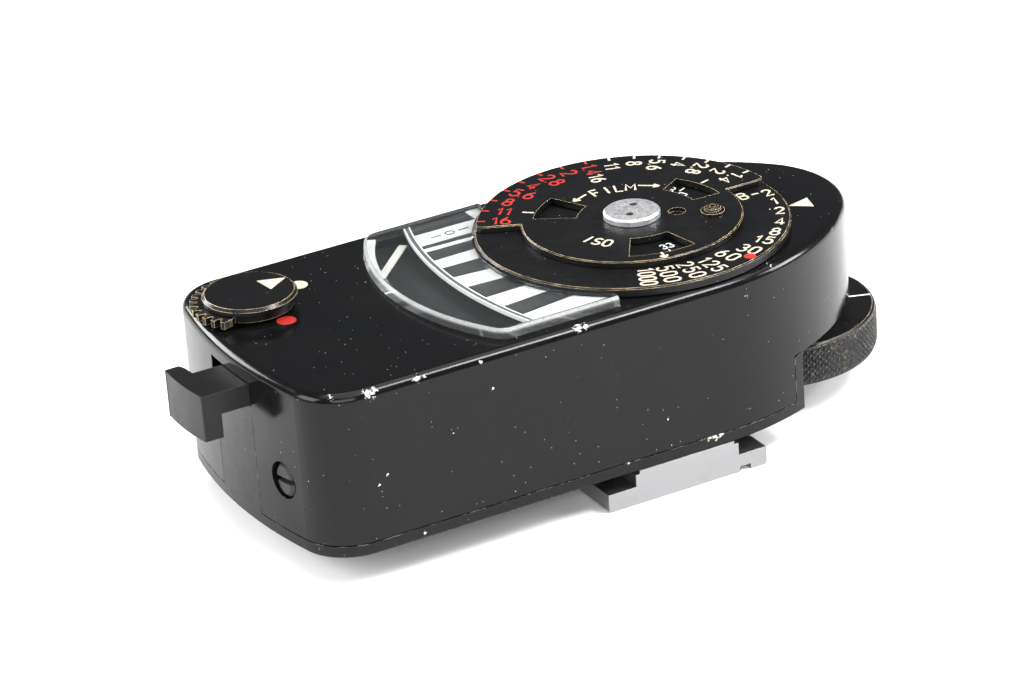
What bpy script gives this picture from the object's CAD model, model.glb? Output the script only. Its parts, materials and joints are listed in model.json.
import json
import math

import bpy
from mathutils import Matrix, Vector


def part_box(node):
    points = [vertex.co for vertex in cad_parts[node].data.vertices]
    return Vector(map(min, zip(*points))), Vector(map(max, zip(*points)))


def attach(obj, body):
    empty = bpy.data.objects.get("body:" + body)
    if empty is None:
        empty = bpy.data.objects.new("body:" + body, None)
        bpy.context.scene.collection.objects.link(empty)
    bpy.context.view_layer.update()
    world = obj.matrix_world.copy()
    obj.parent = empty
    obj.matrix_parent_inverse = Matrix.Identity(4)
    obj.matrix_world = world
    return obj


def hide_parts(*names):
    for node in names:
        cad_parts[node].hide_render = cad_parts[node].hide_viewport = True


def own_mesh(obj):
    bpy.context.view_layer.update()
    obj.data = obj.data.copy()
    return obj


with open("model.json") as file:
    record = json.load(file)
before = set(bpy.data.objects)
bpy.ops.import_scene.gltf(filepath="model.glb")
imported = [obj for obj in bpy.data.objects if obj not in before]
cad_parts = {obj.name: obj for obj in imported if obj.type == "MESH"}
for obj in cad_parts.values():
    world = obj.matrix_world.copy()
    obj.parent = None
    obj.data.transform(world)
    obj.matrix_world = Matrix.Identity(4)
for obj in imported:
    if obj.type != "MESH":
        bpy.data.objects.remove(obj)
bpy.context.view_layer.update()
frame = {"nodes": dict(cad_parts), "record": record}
nodes = frame["nodes"]
MM = 0.001  # lengths below are in millimetres, and are turned into metres where Blender takes them


def low(node):
    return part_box(node)[0] / MM


def high(node):
    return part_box(node)[1] / MM


def middle(node):
    return (low(node) + high(node)) / 2


def polar(reach, degrees, centre=(0.0, 0.0)):
    """Point at a distance and an angle from a centre."""
    angle = math.radians(degrees)
    return (centre[0] + reach * math.cos(angle), centre[1] + reach * math.sin(angle))


DIAL = middle("speed_dial").xy
WHEEL = middle("wheel_shaft").xy
KNOB = middle("range_cap").xy
COVER_TOP = high("cover").z
SPEED_TOP = high("speed_dial").z
APERTURE_TOP = high("aperture_dial").z
FILM_TOP = high("film_speed_disc").z
WHEEL_TOP = high("coupling_wheel").z


# ---------------------------------------------------------------- camera and lights

def camera():
    """Camera matched to the object: angles in degrees, distances in millimetres."""
    azimuth, elevation, roll = (math.radians(a) for a in (-27.27, 25.01, -4.27))
    distance, aside, rise, lens = 478.4, 9.557, -5.851, 161.75
    back = Vector((math.sin(azimuth) * math.cos(elevation),
                   -math.cos(azimuth) * math.cos(elevation), math.sin(elevation)))
    level = Vector((0, 0, 1)).cross(back).normalized()
    upright = back.cross(level)
    right = level * math.cos(roll) + upright * math.sin(roll)
    up = upright * math.cos(roll) - level * math.sin(roll)
    plate_base = Vector((0, 0, low("base_plate").z))
    place = back * distance - right * aside - up * rise + plate_base
    data = bpy.data.cameras.new("camera")
    data.lens = lens
    data.clip_start = 0.02
    thing = bpy.data.objects.new("camera", data)
    bpy.context.scene.collection.objects.link(thing)
    thing.matrix_world = Matrix((
        (right.x, up.x, back.x, place.x * MM), (right.y, up.y, back.y, place.y * MM),
        (right.z, up.z, back.z, place.z * MM), (0, 0, 0, 1)))
    bpy.context.scene.camera = thing


def softbox(name, place, target, width, height, power):
    """Area light: place, target and size in metres, power in watts."""
    data = bpy.data.lights.new(name, "AREA")
    data.shape = "RECTANGLE"
    data.size, data.size_y = width, height
    data.energy = power
    thing = bpy.data.objects.new(name, data)
    bpy.context.scene.collection.objects.link(thing)
    thing.location = place
    aim = Vector(target) - Vector(place)
    thing.rotation_euler = aim.to_track_quat("-Z", "Y").to_euler()


# ---------------------------------------------------------------- material nodes

class Graph:
    """A material's node tree, with short calls to add and wire nodes."""

    def __init__(self, name):
        self.material = bpy.data.materials.new(name)
        self.material.use_nodes = True
        self.tree = self.material.node_tree
        self.tree.nodes.clear()
        self.output = self.tree.nodes.new("ShaderNodeOutputMaterial")

    def add(self, kind, settings=None, **inputs):
        """A node of a kind; an input is named by its label, or by i and its number."""
        node = self.tree.nodes.new("ShaderNode" + kind)
        for key, value in (settings or {}).items():
            setattr(node, key, value)
        for key, value in inputs.items():
            socket = node.inputs[int(key[1:])] if key[0] == "i" and key[1:].isdigit() \
                else node.inputs[key.replace("_", " ")]
            if isinstance(value, bpy.types.NodeSocket):
                self.tree.links.new(value, socket)
            else:
                socket.default_value = value
        return node

    def maths(self, operation, a, b=0.0):
        return self.add("Math", {"operation": operation}, i0=a, i1=b).outputs[0]

    def place(self):
        return self.add("TexCoord").outputs["Object"]

    def flat_place(self):
        """The place with its height set to zero."""
        return self.add("VectorMath", {"operation": "MULTIPLY"}, i0=self.place(),
                        i1=(1.0, 1.0, 0.0)).outputs["Vector"]

    def distance(self, vector, spot):
        """Distance in metres from a spot given in millimetres."""
        return self.add("VectorMath", {"operation": "DISTANCE"}, i0=vector,
                        i1=tuple(c * MM for c in spot)).outputs["Value"]

    def upward(self):
        """Upward part of the surface's true direction: 1 on top faces, 0 on walls."""
        geometry = self.add("NewGeometry").outputs["True Normal"]
        return self.add("SeparateXYZ", Vector=geometry).outputs["Z"]

    def rounded(self, radius, samples):
        """Direction of the surface as if its edges had that radius, in millimetres."""
        return self.add("Bevel", {"samples": samples}, Radius=radius * MM).outputs[0]

    def noise(self, size, detail=4.0, rough=0.55, vector=None):
        """Noise with features about `size` millimetres across."""
        node = self.add("TexNoise", Vector=vector or self.place(), Scale=1.0 / (size * MM),
                        Detail=detail, Roughness=rough)
        return node.outputs["Fac"]

    def ramp(self, value, start, end, bottom=0.0, top=1.0):
        """Goes evenly from bottom to top as the value goes from start to end."""
        node = self.add("MapRange", {"clamp": True}, Value=value)
        limits = {"From Min": start, "From Max": end, "To Min": bottom, "To Max": top}
        for key, number in limits.items():
            node.inputs[key].default_value = number
        return node.outputs["Result"]

    def mix(self, factor, first, second):
        node = self.add("Mix", {"data_type": "RGBA"})
        share, colour_a, colour_b = node.inputs[0], node.inputs[6], node.inputs[7]
        for socket, value in ((share, factor), (colour_a, first), (colour_b, second)):
            if isinstance(value, bpy.types.NodeSocket):
                self.tree.links.new(value, socket)
            elif socket.type == "RGBA":
                socket.default_value = (*value, 1.0)
            else:
                socket.default_value = value
        return node.outputs[2]

    def bump(self, height, strength, depth, normal=None):
        """Bump whose full height is `depth` millimetres, over the given or the mesh's own normal."""
        under = {} if normal is None else {"Normal": normal}
        return self.add("Bump", Height=height, Strength=strength, Distance=depth * MM,
                        **under).outputs["Normal"]

    def edge(self, radius):
        """One at sharp outer edges, zero on flat ground."""
        bevel = self.rounded(radius, 6)
        flat = self.add("NewGeometry").outputs["Normal"]
        cosine = self.add("VectorMath", {"operation": "DOT_PRODUCT"}, i0=bevel, i1=flat).outputs["Value"]
        return self.ramp(cosine, 0.995, 0.80)

    def specks(self, spacing, share, radius):
        """Small round specks: one in `share` cells of a grid `spacing` millimetres wide."""
        cells = self.add("TexVoronoi", Vector=self.place(), Scale=1.0 / (spacing * MM))
        chance = self.add("SeparateColor", Color=cells.outputs["Color"]).outputs[0]
        chosen = self.maths("LESS_THAN", chance, share)
        near = self.ramp(cells.outputs["Distance"], radius, radius * 0.6)
        return self.maths("MULTIPLY", chosen, near)

    def surface(self, base, metallic=0.0, roughness=0.4, normal=None, **constants):
        shader = self.add("BsdfPrincipled")
        links = {"Base Color": base, "Metallic": metallic, "Roughness": roughness, "Normal": normal}
        for key, value in links.items():
            if isinstance(value, bpy.types.NodeSocket):
                self.tree.links.new(value, shader.inputs[key])
            elif value is not None:
                shader.inputs[key].default_value = (*value, 1.0) if key == "Base Color" else value
        for key, value in constants.items():
            shader.inputs[key.replace("_", " ")].default_value = value
        self.tree.links.new(shader.outputs[0], self.output.inputs["Surface"])
        return shader


BLACK = (0.0035, 0.0035, 0.0038)
GRIMY_BLACK = (0.009, 0.0085, 0.008)
BRASS = (1.0, 0.76, 0.42)
BARE = (0.62, 0.60, 0.57)
DUST = (0.55, 0.52, 0.46)
CHIP_RAGGED = 9.0  # how far a chip's outline wanders, in radii for the full swing of the noise


def enamel(name, wear, radius, gloss, bare=BRASS, chips=(), dusty=0.05, shine=0.4, upward=False):
    """Gloss black lacquer, rubbed through to the metal along its edges, with dust and fine scratches.

    `wear` is how far the edges are rubbed, over `radius` millimetres.  `chips` are places and radii
    of bigger flakes.  With `upward`, only edges that look up are rubbed.
    """
    g = Graph(name)
    rubbed = g.noise(1.6, 5.0, 0.65)
    fine = g.noise(0.22, 3.0, 0.6)
    torn = g.noise(0.28, 4.0, 0.7)
    limit = g.maths("ADD", g.maths("MULTIPLY", rubbed, 1.2), g.maths("MULTIPLY", fine, 0.35))
    need = g.maths("MAXIMUM", g.maths("SUBTRACT", limit, wear - 0.47), 0.12)
    worn = g.ramp(g.maths("SUBTRACT", g.edge(radius), need), -0.05, 0.05)
    if upward:
        worn = g.maths("MULTIPLY", worn, g.ramp(g.upward(), 0.3, 0.5))
    for spot, reach in chips:
        offset = g.distance(g.place(), spot)
        uneven = g.maths("MULTIPLY", g.maths("SUBTRACT", torn, 0.5), CHIP_RAGGED * reach * MM)
        ragged = g.maths("ADD", offset, uneven)
        worn = g.maths("MAXIMUM", worn, g.ramp(ragged, reach * MM * 1.05, reach * MM * 0.95))
    dust = g.maths("MAXIMUM", g.specks(0.9, dusty, 0.07), g.specks(0.35, dusty * 0.6, 0.12))
    grime = g.ramp(g.noise(7.0, 6.0, 0.6), 0.45, 0.75, 0.0, 0.2)
    base = g.mix(worn, g.mix(grime, BLACK, GRIMY_BLACK), bare)
    base = g.mix(dust, base, DUST)
    scratch = g.noise(3.0, 8.0, 0.75)
    roughness = g.maths("ADD", g.ramp(scratch, 0.35, 0.75, gloss * 0.75, gloss * 1.7),
                        g.maths("MULTIPLY", worn, 0.14))
    roughness = g.maths("MAXIMUM", roughness, g.maths("MULTIPLY", dust, 0.9))
    ripple = g.maths("MULTIPLY", g.noise(0.5, 3.0), 0.35)
    height = g.maths("ADD", g.maths("SUBTRACT", ripple, worn), dust)
    relief = g.bump(height, 0.35, 0.012, g.rounded(radius * 0.6, 6))
    g.surface(base, g.maths("MULTIPLY", worn, 0.1), roughness, relief, Specular_IOR_Level=shine)
    return g.material


def metal(name, colour, roughness, grain=(1.0, 1.0, 1.0), stain=(0.3, 0.28, 0.25), mark=0.3,
          depth=0.006):
    """Bare metal with grain, stains and soft edges.

    `grain` stretches the fine marks, `mark` is how strong the stains are, and `depth` is the
    marks' height in millimetres.
    """
    g = Graph(name)
    stretched = g.add("Mapping", Vector=g.place(), Scale=grain).outputs[0]
    lines = g.noise(0.09, 4.0, 0.6, stretched)
    patches = g.noise(2.2, 5.0, 0.6)
    dirt = g.maths("MULTIPLY", g.ramp(patches, 0.5, 0.78), mark)
    streaked = g.mix(g.ramp(lines, 0.3, 0.7, 0.0, 0.35), colour, tuple(c * 0.72 for c in colour))
    base = g.mix(dirt, streaked, stain)
    rough = g.maths("ADD", g.ramp(lines, 0.3, 0.7, roughness * 0.8, roughness * 1.35),
                    g.maths("MULTIPLY", dirt, 0.4))
    g.surface(base, 1.0, rough, g.bump(lines, 0.5, depth, g.rounded(0.08, 4)))
    return g.material


def turned(name, colour, centre, pitch=0.09, holes=()):
    """Lathe-turned metal: fine rings about a centre, and grime in any holes."""
    g = Graph(name)
    away = g.distance(g.flat_place(), (*centre, 0.0))
    rings = g.maths("SINE", g.maths("MULTIPLY", away, 2 * math.pi / (pitch * MM)))
    uneven = g.noise(0.8, 4.0)
    tone = g.mix(g.ramp(uneven, 0.4, 0.7, 0.0, 0.3), colour, tuple(c * 0.85 for c in colour))
    for spot, reach in holes:
        offset = g.distance(g.flat_place(), (*spot, 0.0))
        tone = g.mix(g.ramp(offset, reach * MM, reach * MM * 0.92), tone, (0.01, 0.01, 0.01))
    rough = g.ramp(g.noise(0.3, 3.0), 0.3, 0.7, 0.42, 0.6)
    g.surface(tone, 1.0, rough, g.bump(rings, 0.4, 0.004, g.rounded(0.12, 4)))
    return g.material


def moulded(name, colour, roughness, grain=0.18, depth=0.012, dusty=0.1, edge_tone=2.5):
    """Moulded plastic with a fine grain, dust and paler rubbed edges.

    `grain` and `depth` are the texture's size and height in millimetres.
    """
    g = Graph(name)
    texture = g.noise(grain, 3.0, 0.6)
    blotch = g.noise(4.0, 5.0)
    pale = tuple(min(1.0, c * edge_tone) for c in colour)
    base = g.mix(g.maths("MULTIPLY", g.edge(0.14), g.ramp(blotch, 0.3, 0.7, 0.2, 0.9)), colour, pale)
    base = g.mix(g.ramp(blotch, 0.45, 0.75, 0.0, 0.4), base, tuple(c * 1.6 + 0.003 for c in colour))
    base = g.mix(g.specks(0.7, dusty, 0.08), base, DUST)
    rough = g.ramp(blotch, 0.3, 0.7, roughness * 0.85, roughness * 1.2)
    g.surface(base, 0.0, rough, g.bump(texture, 0.6, depth, g.rounded(0.12, 4)), Specular_IOR_Level=0.28)
    return g.material


def paint(name, colour, roughness=0.5, shade=0.8, spots=0.35):
    """Paint on marks and plates: slightly uneven, a little dirty."""
    g = Graph(name)
    uneven = g.noise(0.35, 4.0, 0.6)
    broad = g.noise(2.5, 4.0)
    darker = tuple(c * shade for c in colour)
    base = g.mix(g.ramp(uneven, 0.35, 0.7, 0.0, spots * 2), colour, darker)
    base = g.mix(g.ramp(broad, 0.5, 0.8, 0.0, 0.3), base, tuple(c * shade * 0.9 for c in colour))
    rough = g.ramp(uneven, 0.3, 0.7, roughness * 0.8, roughness * 1.25)
    g.surface(base, 0.0, rough, g.bump(uneven, 0.5, 0.01))
    return g.material


def clear(name, tint=(0.97, 0.985, 0.985), roughness=0.015, ior=1.49, walls=None):
    """Clear acrylic or glass with light scratches.

    `walls` gives a centre and a radius: upright walls let light straight on, and those outside
    that radius are partly milky with fine scratches.  Shadow rays pass straight through.
    """
    g = Graph(name)
    scratches = g.noise(1.4, 8.0, 0.8)
    rough = g.ramp(scratches, 0.4, 0.8, roughness, roughness * 3)
    shader = g.surface(g.mix(g.ramp(scratches, 0.5, 0.9, 0.0, 0.3), tint, tuple(c * 0.96 for c in tint)),
                       0.0, rough, g.bump(scratches, 0.15, 0.004), IOR=ior, Transmission_Weight=1.0)
    last = shader.outputs[0]
    if walls:
        centre, radius = walls
        tilt = g.maths("ABSOLUTE", g.upward())
        upright = g.maths("LESS_THAN", tilt, 0.95)
        away = g.distance(g.flat_place(), (*centre, 0.0))
        outside = g.maths("GREATER_THAN", away, radius * MM)
        fine = g.noise(0.25, 6.0, 0.8)
        milk = g.surface(g.mix(fine, (0.70, 0.72, 0.72), (0.9, 0.92, 0.92)), 0.0, 0.35,
                         g.bump(fine, 0.4, 0.02))
        open_wall = g.add("BsdfTransparent", Color=(0.96, 0.97, 0.97, 1.0)).outputs[0]
        rim = g.maths("MULTIPLY", g.ramp(tilt, 0.2, 0.6, 0.07, 0.32), g.ramp(fine, 0.3, 0.75, 0.8, 1.2))
        share = g.maths("MULTIPLY", outside, rim)
        wall = g.add("MixShader", i0=share, i1=open_wall, i2=milk.outputs[0]).outputs[0]
        last = g.add("MixShader", i0=upright, i1=last, i2=wall).outputs[0]
    path = g.add("LightPath").outputs["Is Shadow Ray"]
    through = g.add("BsdfTransparent", Color=(*(c * 0.97 for c in tint), 1.0)).outputs[0]
    blend = g.add("MixShader", i0=path, i1=last, i2=through).outputs[0]
    g.tree.links.new(blend, g.output.inputs["Surface"])
    return g.material


def ground(name):
    """White table paper."""
    g = Graph(name)
    paper = g.noise(18.0, 5.0)
    g.surface(g.mix(paper, (0.88, 0.88, 0.88), (0.91, 0.91, 0.91)), 0.0, 0.85, g.bump(paper, 0.1, 0.05))
    return g.material


# ---------------------------------------------------------------- pieces

def piece(name, corners, faces, body, material):
    """A mesh piece on a CAD body; corners are in millimetres."""
    mesh = bpy.data.meshes.new(name)
    mesh.from_pydata([tuple(c * MM for c in corner) for corner in corners], [], faces)
    mesh.validate()
    thing = bpy.data.objects.new(name, mesh)
    bpy.context.scene.collection.objects.link(thing)
    mesh.materials.append(material)
    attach(thing, body)


def slab(name, outlines, base, top, body, material):
    """Thin flat shapes: each outline is a list of (x, y) in millimetres, counter-clockwise."""
    corners, faces = [], []
    for outline in outlines:
        start, count = len(corners), len(outline)
        corners += [(x, y, base) for x, y in outline] + [(x, y, top) for x, y in outline]
        faces.append(tuple(start + count + i for i in range(count)))
        faces.append(tuple(start + i for i in reversed(range(count))))
        for i in range(count):
            after = (i + 1) % count
            faces.append((start + i, start + after, start + count + after, start + count + i))
    piece(name, corners, faces, body, material)


def tubes(name, lines, radius, body, material, level=None, flatten=1.0):
    """Round-section strokes along lines of (x, y, z).

    With a `level`, their heights above and below it are cut to `flatten` of themselves, as low paint.
    """
    curve = bpy.data.curves.new(name, "CURVE")
    curve.dimensions = "3D"
    curve.bevel_depth = radius * MM
    curve.bevel_resolution = 2
    curve.use_fill_caps = True
    for line in lines:
        closed = len(line) > 3 and (Vector(line[0]) - Vector(line[-1])).length < 1e-6
        points = line[:-1] if closed else line
        spline = curve.splines.new("POLY")
        spline.points.add(len(points) - 1)
        for point, spot in zip(spline.points, points):
            point.co = (*(Vector(spot) * MM), 1.0)
        spline.use_cyclic_u = closed
    maker = bpy.data.objects.new(name + "_maker", curve)
    bpy.context.scene.collection.objects.link(maker)
    bpy.context.view_layer.update()
    mesh = bpy.data.meshes.new_from_object(maker.evaluated_get(bpy.context.evaluated_depsgraph_get()))
    bpy.data.objects.remove(maker)
    if level is not None:
        for vertex in mesh.vertices:
            vertex.co.z = level * MM + (vertex.co.z - level * MM) * flatten
    mesh.shade_smooth()
    mesh.name = name
    thing = bpy.data.objects.new(name, mesh)
    bpy.context.scene.collection.objects.link(thing)
    mesh.materials.clear()
    mesh.materials.append(material)
    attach(thing, body)
    return thing


# ---------------------------------------------------------------- painted characters

def arc(x, y, rx, ry, start, end):
    """Points along an ellipse about (x, y), from one angle to another."""
    count = 12
    steps = [start + (end - start) * i / count for i in range(count + 1)]
    return [(x + rx * math.cos(math.radians(a)), y + ry * math.sin(math.radians(a))) for a in steps]


GLYPH_WIDTH = 0.56  # as a share of the height
NARROW_GLYPHS = {".": 0.45, "1": 0.78}

# Each character is a list of strokes in a cell GLYPH_WIDTH wide and 1 high.
GLYPHS = {
    "0": [arc(0.28, 0.72, 0.27, 0.28, 0, 180) + arc(0.28, 0.28, 0.27, 0.28, 180, 360) + [(0.55, 0.72)]],
    "1": [[(0.08, 0.74), (0.32, 1.0), (0.32, 0.0)]],
    "2": [arc(0.28, 0.73, 0.26, 0.27, 175, -32) + [(0.02, 0.0), (0.56, 0.0)]],
    "3": [arc(0.27, 0.76, 0.24, 0.24, 160, -80), arc(0.27, 0.27, 0.28, 0.27, 95, -155)],
    "4": [[(0.40, 0.0), (0.40, 1.0), (0.0, 0.27), (0.58, 0.27)]],
    "5": [[(0.52, 1.0), (0.08, 1.0), (0.06, 0.56)] + arc(0.27, 0.33, 0.28, 0.33, 115, -150)],
    "6": [arc(0.28, 0.30, 0.27, 0.30, 0, 360), [(0.01, 0.30), (0.06, 0.62), (0.38, 1.0)]],
    "8": [arc(0.28, 0.76, 0.22, 0.24, 0, 360), arc(0.28, 0.27, 0.28, 0.27, 0, 360)],
    "9": [arc(0.28, 0.70, 0.27, 0.30, 0, 360), [(0.55, 0.70), (0.50, 0.38), (0.18, 0.0)]],
    "B": [[(0.0, 0.0), (0.0, 1.0), (0.28, 1.0)] + arc(0.30, 0.77, 0.22, 0.23, 90, -90) + [(0.0, 0.54)],
          [(0.28, 0.54)] + arc(0.30, 0.27, 0.26, 0.27, 90, -90) + [(0.0, 0.0)]],
    "F": [[(0.0, 0.0), (0.0, 1.0), (0.5, 1.0)], [(0.0, 0.52), (0.42, 0.52)]],
    "I": [[(0.28, 0.0), (0.28, 1.0)]],
    "L": [[(0.05, 1.0), (0.05, 0.0), (0.5, 0.0)]],
    "M": [[(-0.02, 0.0), (-0.02, 1.0), (0.28, 0.4), (0.58, 1.0), (0.58, 0.0)]],
    "S": [arc(0.27, 0.75, 0.24, 0.25, 30, 270) + arc(0.27, 0.27, 0.27, 0.23, 90, -150)],
    ".": [[(0.20, 0.03), (0.28, 0.03)]],
}


def written(text, size, advance, spot, rotation, level, centre, narrow=1.0):
    """Strokes of a word centred on a spot, `advance` millimetres for each full-width character."""
    widths = [advance * NARROW_GLYPHS.get(letter, 1.0) for letter in text]
    angle = math.radians(rotation)
    ahead = (math.cos(angle), math.sin(angle))
    lines, along = [], -sum(widths) / 2
    for letter, width in zip(text, widths):
        shift = along + (width - GLYPH_WIDTH * size * narrow) / 2
        for stroke in GLYPHS[letter]:
            line = []
            for x, y in stroke:
                u, v = shift + x * size * narrow, (y - 0.5) * size
                line.append((centre[0] + spot[0] + u * ahead[0] - v * ahead[1],
                             centre[1] + spot[1] + u * ahead[1] + v * ahead[0], level))
            lines.append(line)
        along += width
    return lines


def ray(inner, outer, degrees, level, centre):
    """A short line that points away from a centre."""
    return [(*polar(inner, degrees, centre), level), (*polar(outer, degrees, centre), level)]


def disc(radius, spot):
    count = 40
    return [polar(radius, 360.0 * i / count, spot) for i in range(count)]


def arrow(start, tip, level, head=0.75):
    """A line from start to tip with two barbs."""
    start, tip = Vector(start), Vector(tip)
    back = (start - tip).normalized()
    lines = [[(*start, level), (*tip, level)]]
    for turn in (math.radians(32), math.radians(-32)):
        barb = tip + Matrix.Rotation(turn, 2) @ back * head
        lines.append([(*barb, level), (*tip, level)])
    return lines


SUNK, PROUD = 0.01, 0.02  # how far flat paint goes below and above its surface

CREAM = paint("paint_cream", (0.56, 0.51, 0.39))
RED = paint("paint_red", (0.40, 0.02, 0.013))
WHITE = paint("paint_white", (0.86, 0.86, 0.84), 0.35, shade=0.93, spots=0.2)
DARK = paint("paint_black", (0.013, 0.013, 0.014), 0.4, shade=0.6)
GREY = paint("paint_grey", (0.06, 0.06, 0.06), 0.35)


RELIEF = 0.15  # share of a painted stroke's height that is kept
STROKE = 0.14
SMALL_NUMERAL, LARGE_NUMERAL, SPEED_NUMERAL = 1.52, 1.68, 1.62


def aperture_marks():
    """Lens openings on the upper dial, as (text, angle): red ones, then cream ones."""
    red = [("1.4", 78.0), ("2", 88.0), ("2.8", 98.0), ("4", 107.5), ("5.6", 117.0),
           ("8", 127.0), ("11", 137.0), ("16", 147.0)]
    cream = [("11", 68.6), ("8", 58.7), ("5.6", 48.9), ("4", 39.0), ("2.8", 29.1),
             ("2", 19.3), ("1.4", 9.7)]
    advance, outermost, per_digit = 1.18, 13.9, 0.42
    for name, rows, colour, height in (("aperture_numerals_red", red, RED, LARGE_NUMERAL),
                                       ("aperture_numerals", cream, CREAM, SMALL_NUMERAL)):
        lines = []
        for text, angle in rows:
            reach = outermost - per_digit * (len(text.replace(".", "")) - 1)
            lines += written(text, height, advance, polar(reach, angle), angle + 180.0, APERTURE_TOP, DIAL)
            lines.append(ray(15.15, 15.95, angle, APERTURE_TOP, DIAL))
        if colour is CREAM:
            lines += written("16", height, advance, polar(11.0, 78.8), 258.8, APERTURE_TOP, DIAL)
        tubes(name, lines, STROKE, "aperture", colour, APERTURE_TOP, RELIEF)


def speed_marks():
    """Shutter speeds on the lower dial, as (text, angle, distance from the centre, advance)."""
    speeds = [("1", -16.4, 15.2, 1.0), ("2", -26.0, 15.2, 1.0), ("4", -36.5, 15.2, 1.0),
              ("8", -46.2, 15.15, 1.0), ("15", -54.6, 14.7, 1.25), ("30", -65.0, 14.35, 1.36),
              ("60", -74.6, 13.45, 1.5), ("125", -85.4, 14.0, 1.33), ("250", -95.0, 13.8, 1.42),
              ("500", -105.0, 13.7, 1.42), ("1000", -114.2, 13.75, 1.12)]
    lines = []
    for text, angle, reach, advance in speeds:
        narrow = 0.84 if len(text) == 4 else 1.0
        lines += written(text, SPEED_NUMERAL, advance, polar(reach, angle), angle, SPEED_TOP, DIAL, narrow)
    lines += written("B", SMALL_NUMERAL, 1.07, polar(12.6, -5.5), -5.5, SPEED_TOP, DIAL)
    lines += written("2", SMALL_NUMERAL, 1.07, polar(15.2, -7.5), -5.5, SPEED_TOP, DIAL)
    lines.append(ray(13.55, 14.35, -6.0, SPEED_TOP, DIAL))
    lines.append(ray(14.2, 14.3, -24.0, SPEED_TOP, DIAL))
    tubes("speed_numerals", lines, STROKE, "dial", CREAM, SPEED_TOP, RELIEF)
    slab("speed_red_dot", [disc(0.62, polar(15.45, -70.3, DIAL))], SPEED_TOP - SUNK, SPEED_TOP + PROUD,
         "dial", RED)


def film_speed_marks():
    """Words, arrows and window ticks on the upper dial, and the numbers on the disc below it."""
    letter_turn = 9.5
    lines = []
    for i, letter in enumerate("FILM"):
        turn = 75.0 + letter_turn * (1.5 - i)
        lines += written(letter, 1.6, 1.1, polar(7.55, turn), turn - 90.0, APERTURE_TOP, DIAL)
    lines += arrow(polar(7.9, 97.0, DIAL), polar(7.6, 112.0, DIAL), APERTURE_TOP)
    lines += arrow(polar(8.0, 55.0, DIAL), polar(8.1, 39.0, DIAL), APERTURE_TOP)
    lines += arrow(polar(9.9, -103.0, DIAL), polar(11.3, -103.0, DIAL), APERTURE_TOP, 0.72)
    lines.append(ray(10.35, 11.6, 137.0, APERTURE_TOP, DIAL))
    lines.append(ray(10.5, 11.6, 16.5, APERTURE_TOP, DIAL))
    for i, glyph in enumerate("IS0"):
        turn = -151.0 + letter_turn * (i - 1)
        lines += written(glyph, 1.5, 1.1, polar(6.9, turn), turn + 90.0, APERTURE_TOP, DIAL)
    tubes("film_speed_marks", lines, 0.135, "aperture", CREAM, APERTURE_TOP, RELIEF)

    lines = []
    for text, angle in (("30", -130.0), ("33", -91.0), ("36", -60.0), ("39", -24.0)):
        lines += written(text, 1.05, 0.75, polar(7.1, angle), angle + 90.0, FILM_TOP, DIAL)
        lines.append(ray(7.95, 8.4, angle - 2.0, FILM_TOP, DIAL))
    for text, angle, reach in (("1600", 59.0, 8.6), ("500", 46.8, 8.6), ("160", 34.6, 8.9),
                               ("50", 22.4, 8.3), ("16", 2.0, 8.3), ("5", -12.0, 8.3)):
        lines += written(text, 1.0, 0.66, polar(reach, angle), angle, FILM_TOP, DIAL)
    lines.append(ray(9.1, 10.1, 27.0, FILM_TOP, DIAL))
    tubes("film_speed_numerals", lines, 0.08, "dial", WHITE, FILM_TOP, RELIEF)


def index_marks():
    """Marks on the cover that the dials and the range knob point to, and the knob's and wheel's own."""
    under, dot_top, dot_radius = COVER_TOP - 0.02, COVER_TOP + 0.025, 1.0
    triangle = [polar(16.75, -14.6, DIAL), polar(19.2, -18.0, DIAL), polar(19.2, -10.8, DIAL)]
    slab("index_mark", [triangle], under, COVER_TOP + PROUD, "housing", CREAM)
    slab("range_white_dot", [disc(dot_radius, (-29.2, 9.5))], under, dot_top, "housing", CREAM)
    slab("range_red_dot", [disc(dot_radius, (-34.0, 2.5))], under, dot_top, "housing", RED)
    top = high("range_cap").z
    wedge = [polar(2.3, 45.0, KNOB), polar(2.2, -29.6, KNOB), polar(4.4, 7.5, KNOB)]
    slab("range_wedge", [wedge], top - SUNK, top + PROUD, "range", CREAM)
    tubes("wheel_index_line", [ray(8.6, 10.9, -21.6, WHEEL_TOP, WHEEL)], 0.15, "coupling", WHITE,
          WHEEL_TOP, RELIEF)


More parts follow.
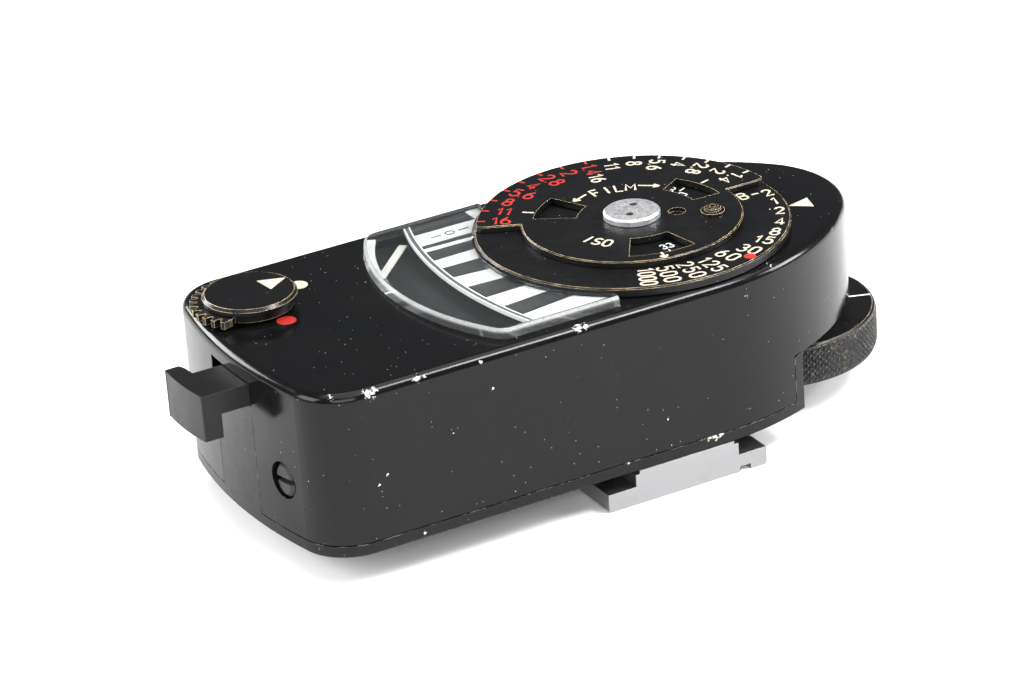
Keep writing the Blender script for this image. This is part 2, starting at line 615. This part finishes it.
def stripes():
    """Dark bars, edge lines and a battery mark on the white scale plate.

    The bars run from near its curved left edge to the dial.
    """
    level = high("scale_plate").z
    edge, side = low("scale_plate").x, high("scale_plate").y - 0.02
    edge_radius, under_dial = 48.0, 15.6

    def left(y, inset=0.75):
        return edge + inset + edge_radius - math.sqrt(edge_radius ** 2 - y ** 2)

    def across(y0, angle0, y1, angle1, steps=8):
        """Shape between two lines, each from the left edge at y to the dial at an angle."""
        shares = [i / steps for i in range(steps + 1)]
        start = [(left(y1 + (y0 - y1) * i), y1 + (y0 - y1) * i) for i in shares]
        return start + [polar(under_dial, angle0 + (angle1 - angle0) * i, DIAL) for i in shares]

    bars = [across(3.6, 167.0, 1.0, 178.0), across(-2.0, 188.4, -5.3, 199.2),
            across(-8.3, 209.5, -11.1, 220.4), across(8.1, 149.0, 5.8, 157.5),
            across(9.7, 141.5, 9.0, 145.5)]
    far = [(left(12.6), 12.6), (-7.0, 12.6), (-7.0, side), (left(side), side)]
    near = [(left(-side), -side), (-3.1, -side), (-3.1, -14.4), (left(-13.6), -13.6)]
    slab("scale_bars", bars + [far[::-1], near], level - 0.02, level + 0.03, "housing", DARK)

    top, steps = level + PROUD, 30
    ys = [side - 2 * side * i / steps for i in range(steps + 1)]
    rail = [(left(y, 0.02), y) for y in ys] + [(left(y, 0.72), y) for y in reversed(ys)]
    slab("scale_edge_rail", [rail], level - 0.02, top, "housing", GREY)
    tubes("scale_edge_lines", [[(left(y, inset), y, top) for y in ys] for inset in (0.10, 0.66)],
          0.045, "housing", WHITE, top, 0.8)

    x, y = -10.8, 11.1
    turns = [math.radians(a) for a in range(0, 361, 20)]
    ring = [(x + 0.5 * math.cos(turn), y + 0.42 * math.sin(turn), top) for turn in turns]
    dashes = [[(x + start, y, top), (x + end, y, top)] for start, end in ((-2.2, -1.0), (1.0, 2.2))]
    tubes("battery_mark", [ring] + dashes, 0.07, "housing", DARK, top, 0.5)


def knurl():
    """Diamond knurl round the coupling wheel's rim."""
    radius = (high("coupling_wheel").x - low("coupling_wheel").x) / 2
    plain_edge, pitch = 0.14, 0.68
    floor_depth, ridge_height = 0.06, 0.2
    base, top = low("coupling_wheel").z + plain_edge, WHEEL_TOP - plain_edge
    count = round(2 * math.pi * radius / pitch)
    across, rows = count * 6, 40  # mesh columns and rows
    rise = (top - base) / rows

    def wave(value):
        return abs((value % 1.0) * 2.0 - 1.0)

    corners, faces = [], []
    for row in range(rows + 1):
        z = base + rise * row
        fade = min(1.0, 9.0 * min(row, rows - row) / rows)  # ridges run out at both edges
        for column in range(across):
            turn = column / across
            u, v = turn * count, (z - base) / (pitch * 1.05)
            ridge = min(wave(u + v), wave(u - v))
            reach = radius - floor_depth + ridge_height * fade * min(1.0, ridge * 1.5)
            corners.append((*polar(reach, 360.0 * turn, WHEEL), z))
    for row in range(rows):
        for column in range(across):
            after = (column + 1) % across
            faces.append((row * across + column, row * across + after,
                          (row + 1) * across + after, (row + 1) * across + column))
    worn = enamel("knurl_enamel", wear=0.12, radius=0.10, gloss=0.22, dusty=0.10)
    piece("wheel_knurl", corners, faces, "coupling", worn)


def springs():
    """The plunger's coil spring in place of its plain stand-in.  It shortens as the plunger goes in."""
    start, end = low("plunger_spring"), high("plunger_spring")
    wire = 0.13
    coil = (end.y - start.y) / 2 - wire
    y, z = (start.y + end.y) / 2, (start.z + end.z) / 2
    turns, steps = 9, 24
    line = []
    for i in range(turns * steps + 1):
        share = i / (turns * steps)
        angle = 2 * math.pi * turns * share
        line.append((start.x + wire + (end.x - start.x - 2 * wire) * share,
                     y + coil * math.cos(angle), z + coil * math.sin(angle)))
    spring = tubes("plunger_coil_spring", [line], wire, "housing",
                   metal("spring_wire", (0.70, 0.69, 0.66), 0.22))
    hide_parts("plunger_spring")
    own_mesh(spring)


# ---------------------------------------------------------------- what each CAD node is made of

# Places, in millimetres, and radii of the bigger chips in the lacquer.
COVER_CHIPS = (
    ((-34.6, -16.6, 20.7), 0.34), ((-34.0, -16.4, 20.9), 0.2), ((-38.2, -15.4, 20.8), 0.22),
    ((-29.4, -16.5, 20.8), 0.24), ((-28.6, -16.5, 20.9), 0.13), ((-22.4, -16.6, 20.6), 0.14),
    ((-11.3, -16.4, 21.0), 0.3), ((-10.5, -16.4, 21.0), 0.2), ((11.5, -15.2, 20.9), 0.24),
    ((12.3, -14.9, 20.9), 0.15), ((-21.4, -16.8, 17.5), 0.13), ((7.9, -16.4, 19.0), 0.15),
    ((9.7, -16.0, 18.7), 0.16), ((-34.5, -16.8, 10.9), 0.13), ((-33.5, -16.8, 11.8), 0.12),
    ((-26.0, -16.8, 14.0), 0.08), ((-2.0, -16.8, 8.4), 0.1), ((26.2, -4.0, 20.6), 0.16),
)
PLATE_CHIPS = (
    ((3.4, -16.8, 4.9), 0.3), ((4.0, -16.8, 4.9), 0.24), ((2.7, -16.8, 4.9), 0.18),
    ((-6.8, -16.8, 4.9), 0.12), ((14.6, -15.6, 4.6), 0.22), ((-30.0, -16.8, 4.2), 0.14),
)


def dress():
    """Give every CAD node its material: its own, or that of its material slot."""
    dial = enamel("dial_enamel", wear=1.05, radius=0.065, gloss=0.34, dusty=0.06, shine=0.22,
                  upward=True)
    finishes = {
        "black_inner": moulded("inner_black", (0.018, 0.018, 0.018), 0.55),
        "foot_steel": metal("foot_metal", (0.325, 0.325, 0.33), 0.34, grain=(1.0, 0.06, 1.0)),
        "bright_steel": metal("steel", (0.66, 0.66, 0.67), 0.24),
        "brass_parts": metal("brass", (0.72, 0.52, 0.22), 0.26, stain=(0.28, 0.18, 0.08)),
        "black_plastic": moulded("plastic", (0.006, 0.006, 0.0065), 0.42, edge_tone=6.0),
        "scale_paint": paint("scale_white", (0.43, 0.43, 0.42), 0.4, shade=0.93, spots=0.2),
        "needle_paint": paint("needle_cream", (0.44, 0.43, 0.39), 0.4),
        "board": moulded("board", (0.20, 0.11, 0.03), 0.45, grain=0.4, depth=0.02, dusty=0.0,
                         edge_tone=1.4),
        "component": moulded("component", (0.42, 0.26, 0.13), 0.35, grain=0.25, depth=0.02, dusty=0.0,
                             edge_tone=1.3),
        "magnet": metal("magnet_alloy", (0.24, 0.24, 0.25), 0.5, mark=0.5, depth=0.02),
        "cell_can": metal("cell_steel", (0.70, 0.70, 0.70), 0.2),
        "clear_acrylic": clear("acrylic", walls=(DIAL, 17.0)),
        "lens_glass": clear("lens", (0.90, 0.94, 0.90), roughness=0.01, ior=1.52),
    }
    special = {
        "cover": enamel("cover_enamel", wear=0.05, radius=0.10, gloss=0.15, bare=BARE,
                        chips=COVER_CHIPS, dusty=0.09, shine=0.2),
        "base_plate": enamel("plate_enamel", wear=0.20, radius=0.08, gloss=0.22, bare=(0.60, 0.56, 0.50),
                             chips=PLATE_CHIPS, dusty=0.05, shine=0.2),
        "speed_dial": dial, "aperture_dial": dial, "film_speed_disc": dial,
        "coupling_wheel": enamel("wheel_enamel", wear=0.9, radius=0.09, gloss=0.3, dusty=0.1, shine=0.25,
                                 upward=True),
        "range_cap": enamel("knob_enamel", wear=1.05, radius=0.085, gloss=0.26, dusty=0.04, shine=0.25,
                            upward=True),
        "range_teeth": enamel("teeth_enamel", wear=0.84, radius=0.07, gloss=0.3, dusty=0.04, shine=0.25),
        "film_peg": enamel("peg_enamel", wear=1.25, radius=0.08, gloss=0.25, dusty=0.0, upward=True),
        "centre_screw": turned("screw_metal", (0.66, 0.66, 0.67), DIAL,
                               holes=[(polar(1.25, turn, DIAL), 0.44) for turn in (51.0, 231.0)]),
        "battery_lid": turned("lid_metal", (0.66, 0.66, 0.67), middle("battery_lid").xy, pitch=0.15),
        "moving_coil": metal("copper_wire", (0.62, 0.26, 0.11), 0.35, stain=(0.3, 0.1, 0.05)),
        "resistors": moulded("resistor_body", (0.48, 0.34, 0.20), 0.4, grain=0.3, depth=0.01, dusty=0.0,
                             edge_tone=1.2),
        "mask_plate": moulded("mask_black", (0.006, 0.006, 0.006), 0.5),
        "window_frame": paint("frame_grey", (0.42, 0.42, 0.41), 0.4),
        "eye_bezel": enamel("bezel_enamel", wear=0.4, radius=0.12, gloss=0.25),
    }
    for row in frame["record"]["subparts"]:
        node = row["node"]
        materials = nodes[node].data.materials
        materials.clear()
        materials.append(special[node] if node in special else finishes[row["material_slot"]])


# ---------------------------------------------------------------- put it together

camera()
dress()
aperture_marks()
speed_marks()
film_speed_marks()
index_marks()
stripes()
knurl()
springs()

FLOOR, FLOOR_LEVEL = 1.6, -2e-5  # metres, just under the foot
floor_mesh = bpy.data.meshes.new("floor")
floor_corners = [(x * FLOOR, y * FLOOR, FLOOR_LEVEL) for x, y in ((-1, -1), (1, -1), (1, 1), (-1, 1))]
floor_mesh.from_pydata(floor_corners, [], [(0, 1, 2, 3)])
floor = bpy.data.objects.new("floor", floor_mesh)
bpy.context.scene.collection.objects.link(floor)
floor_mesh.materials.append(ground("floor_paper"))

# name, place, aim, width, height, power
softbox("overhead", (0.10, -0.12, 0.80), (0.0, 0.0, 0.0), 1.0, 0.9, 8.0)
softbox("key", (0.30, -0.30, 0.58), (0.0, 0.0, 0.0), 0.17, 0.17, 3.8)
softbox("left_fill", (-0.60, 0.05, 0.34), (-0.05, -0.02, 0.0), 0.45, 0.35, 4.6)
softbox("back_left", (-0.34, 0.68, 0.30), (-0.03, 0.0, 0.01), 0.34, 0.26, 4.6)
softbox("front_fill", (-0.22, -0.62, 0.30), (-0.02, -0.03, 0.0), 0.55, 0.3, 3.2)
softbox("right_table", (0.19, -0.09, 0.10), (0.085, -0.045, 0.0), 0.07, 0.07, 0.5)
bpy.context.scene.view_settings.view_transform = "Standard"

world = bpy.data.worlds.new("studio")
bpy.context.scene.world = world
world.use_nodes = True
sky = world.node_tree.nodes["Background"].inputs
sky["Color"].default_value = (0.9, 0.95, 1.0, 1.0)
sky["Strength"].default_value = 0.15
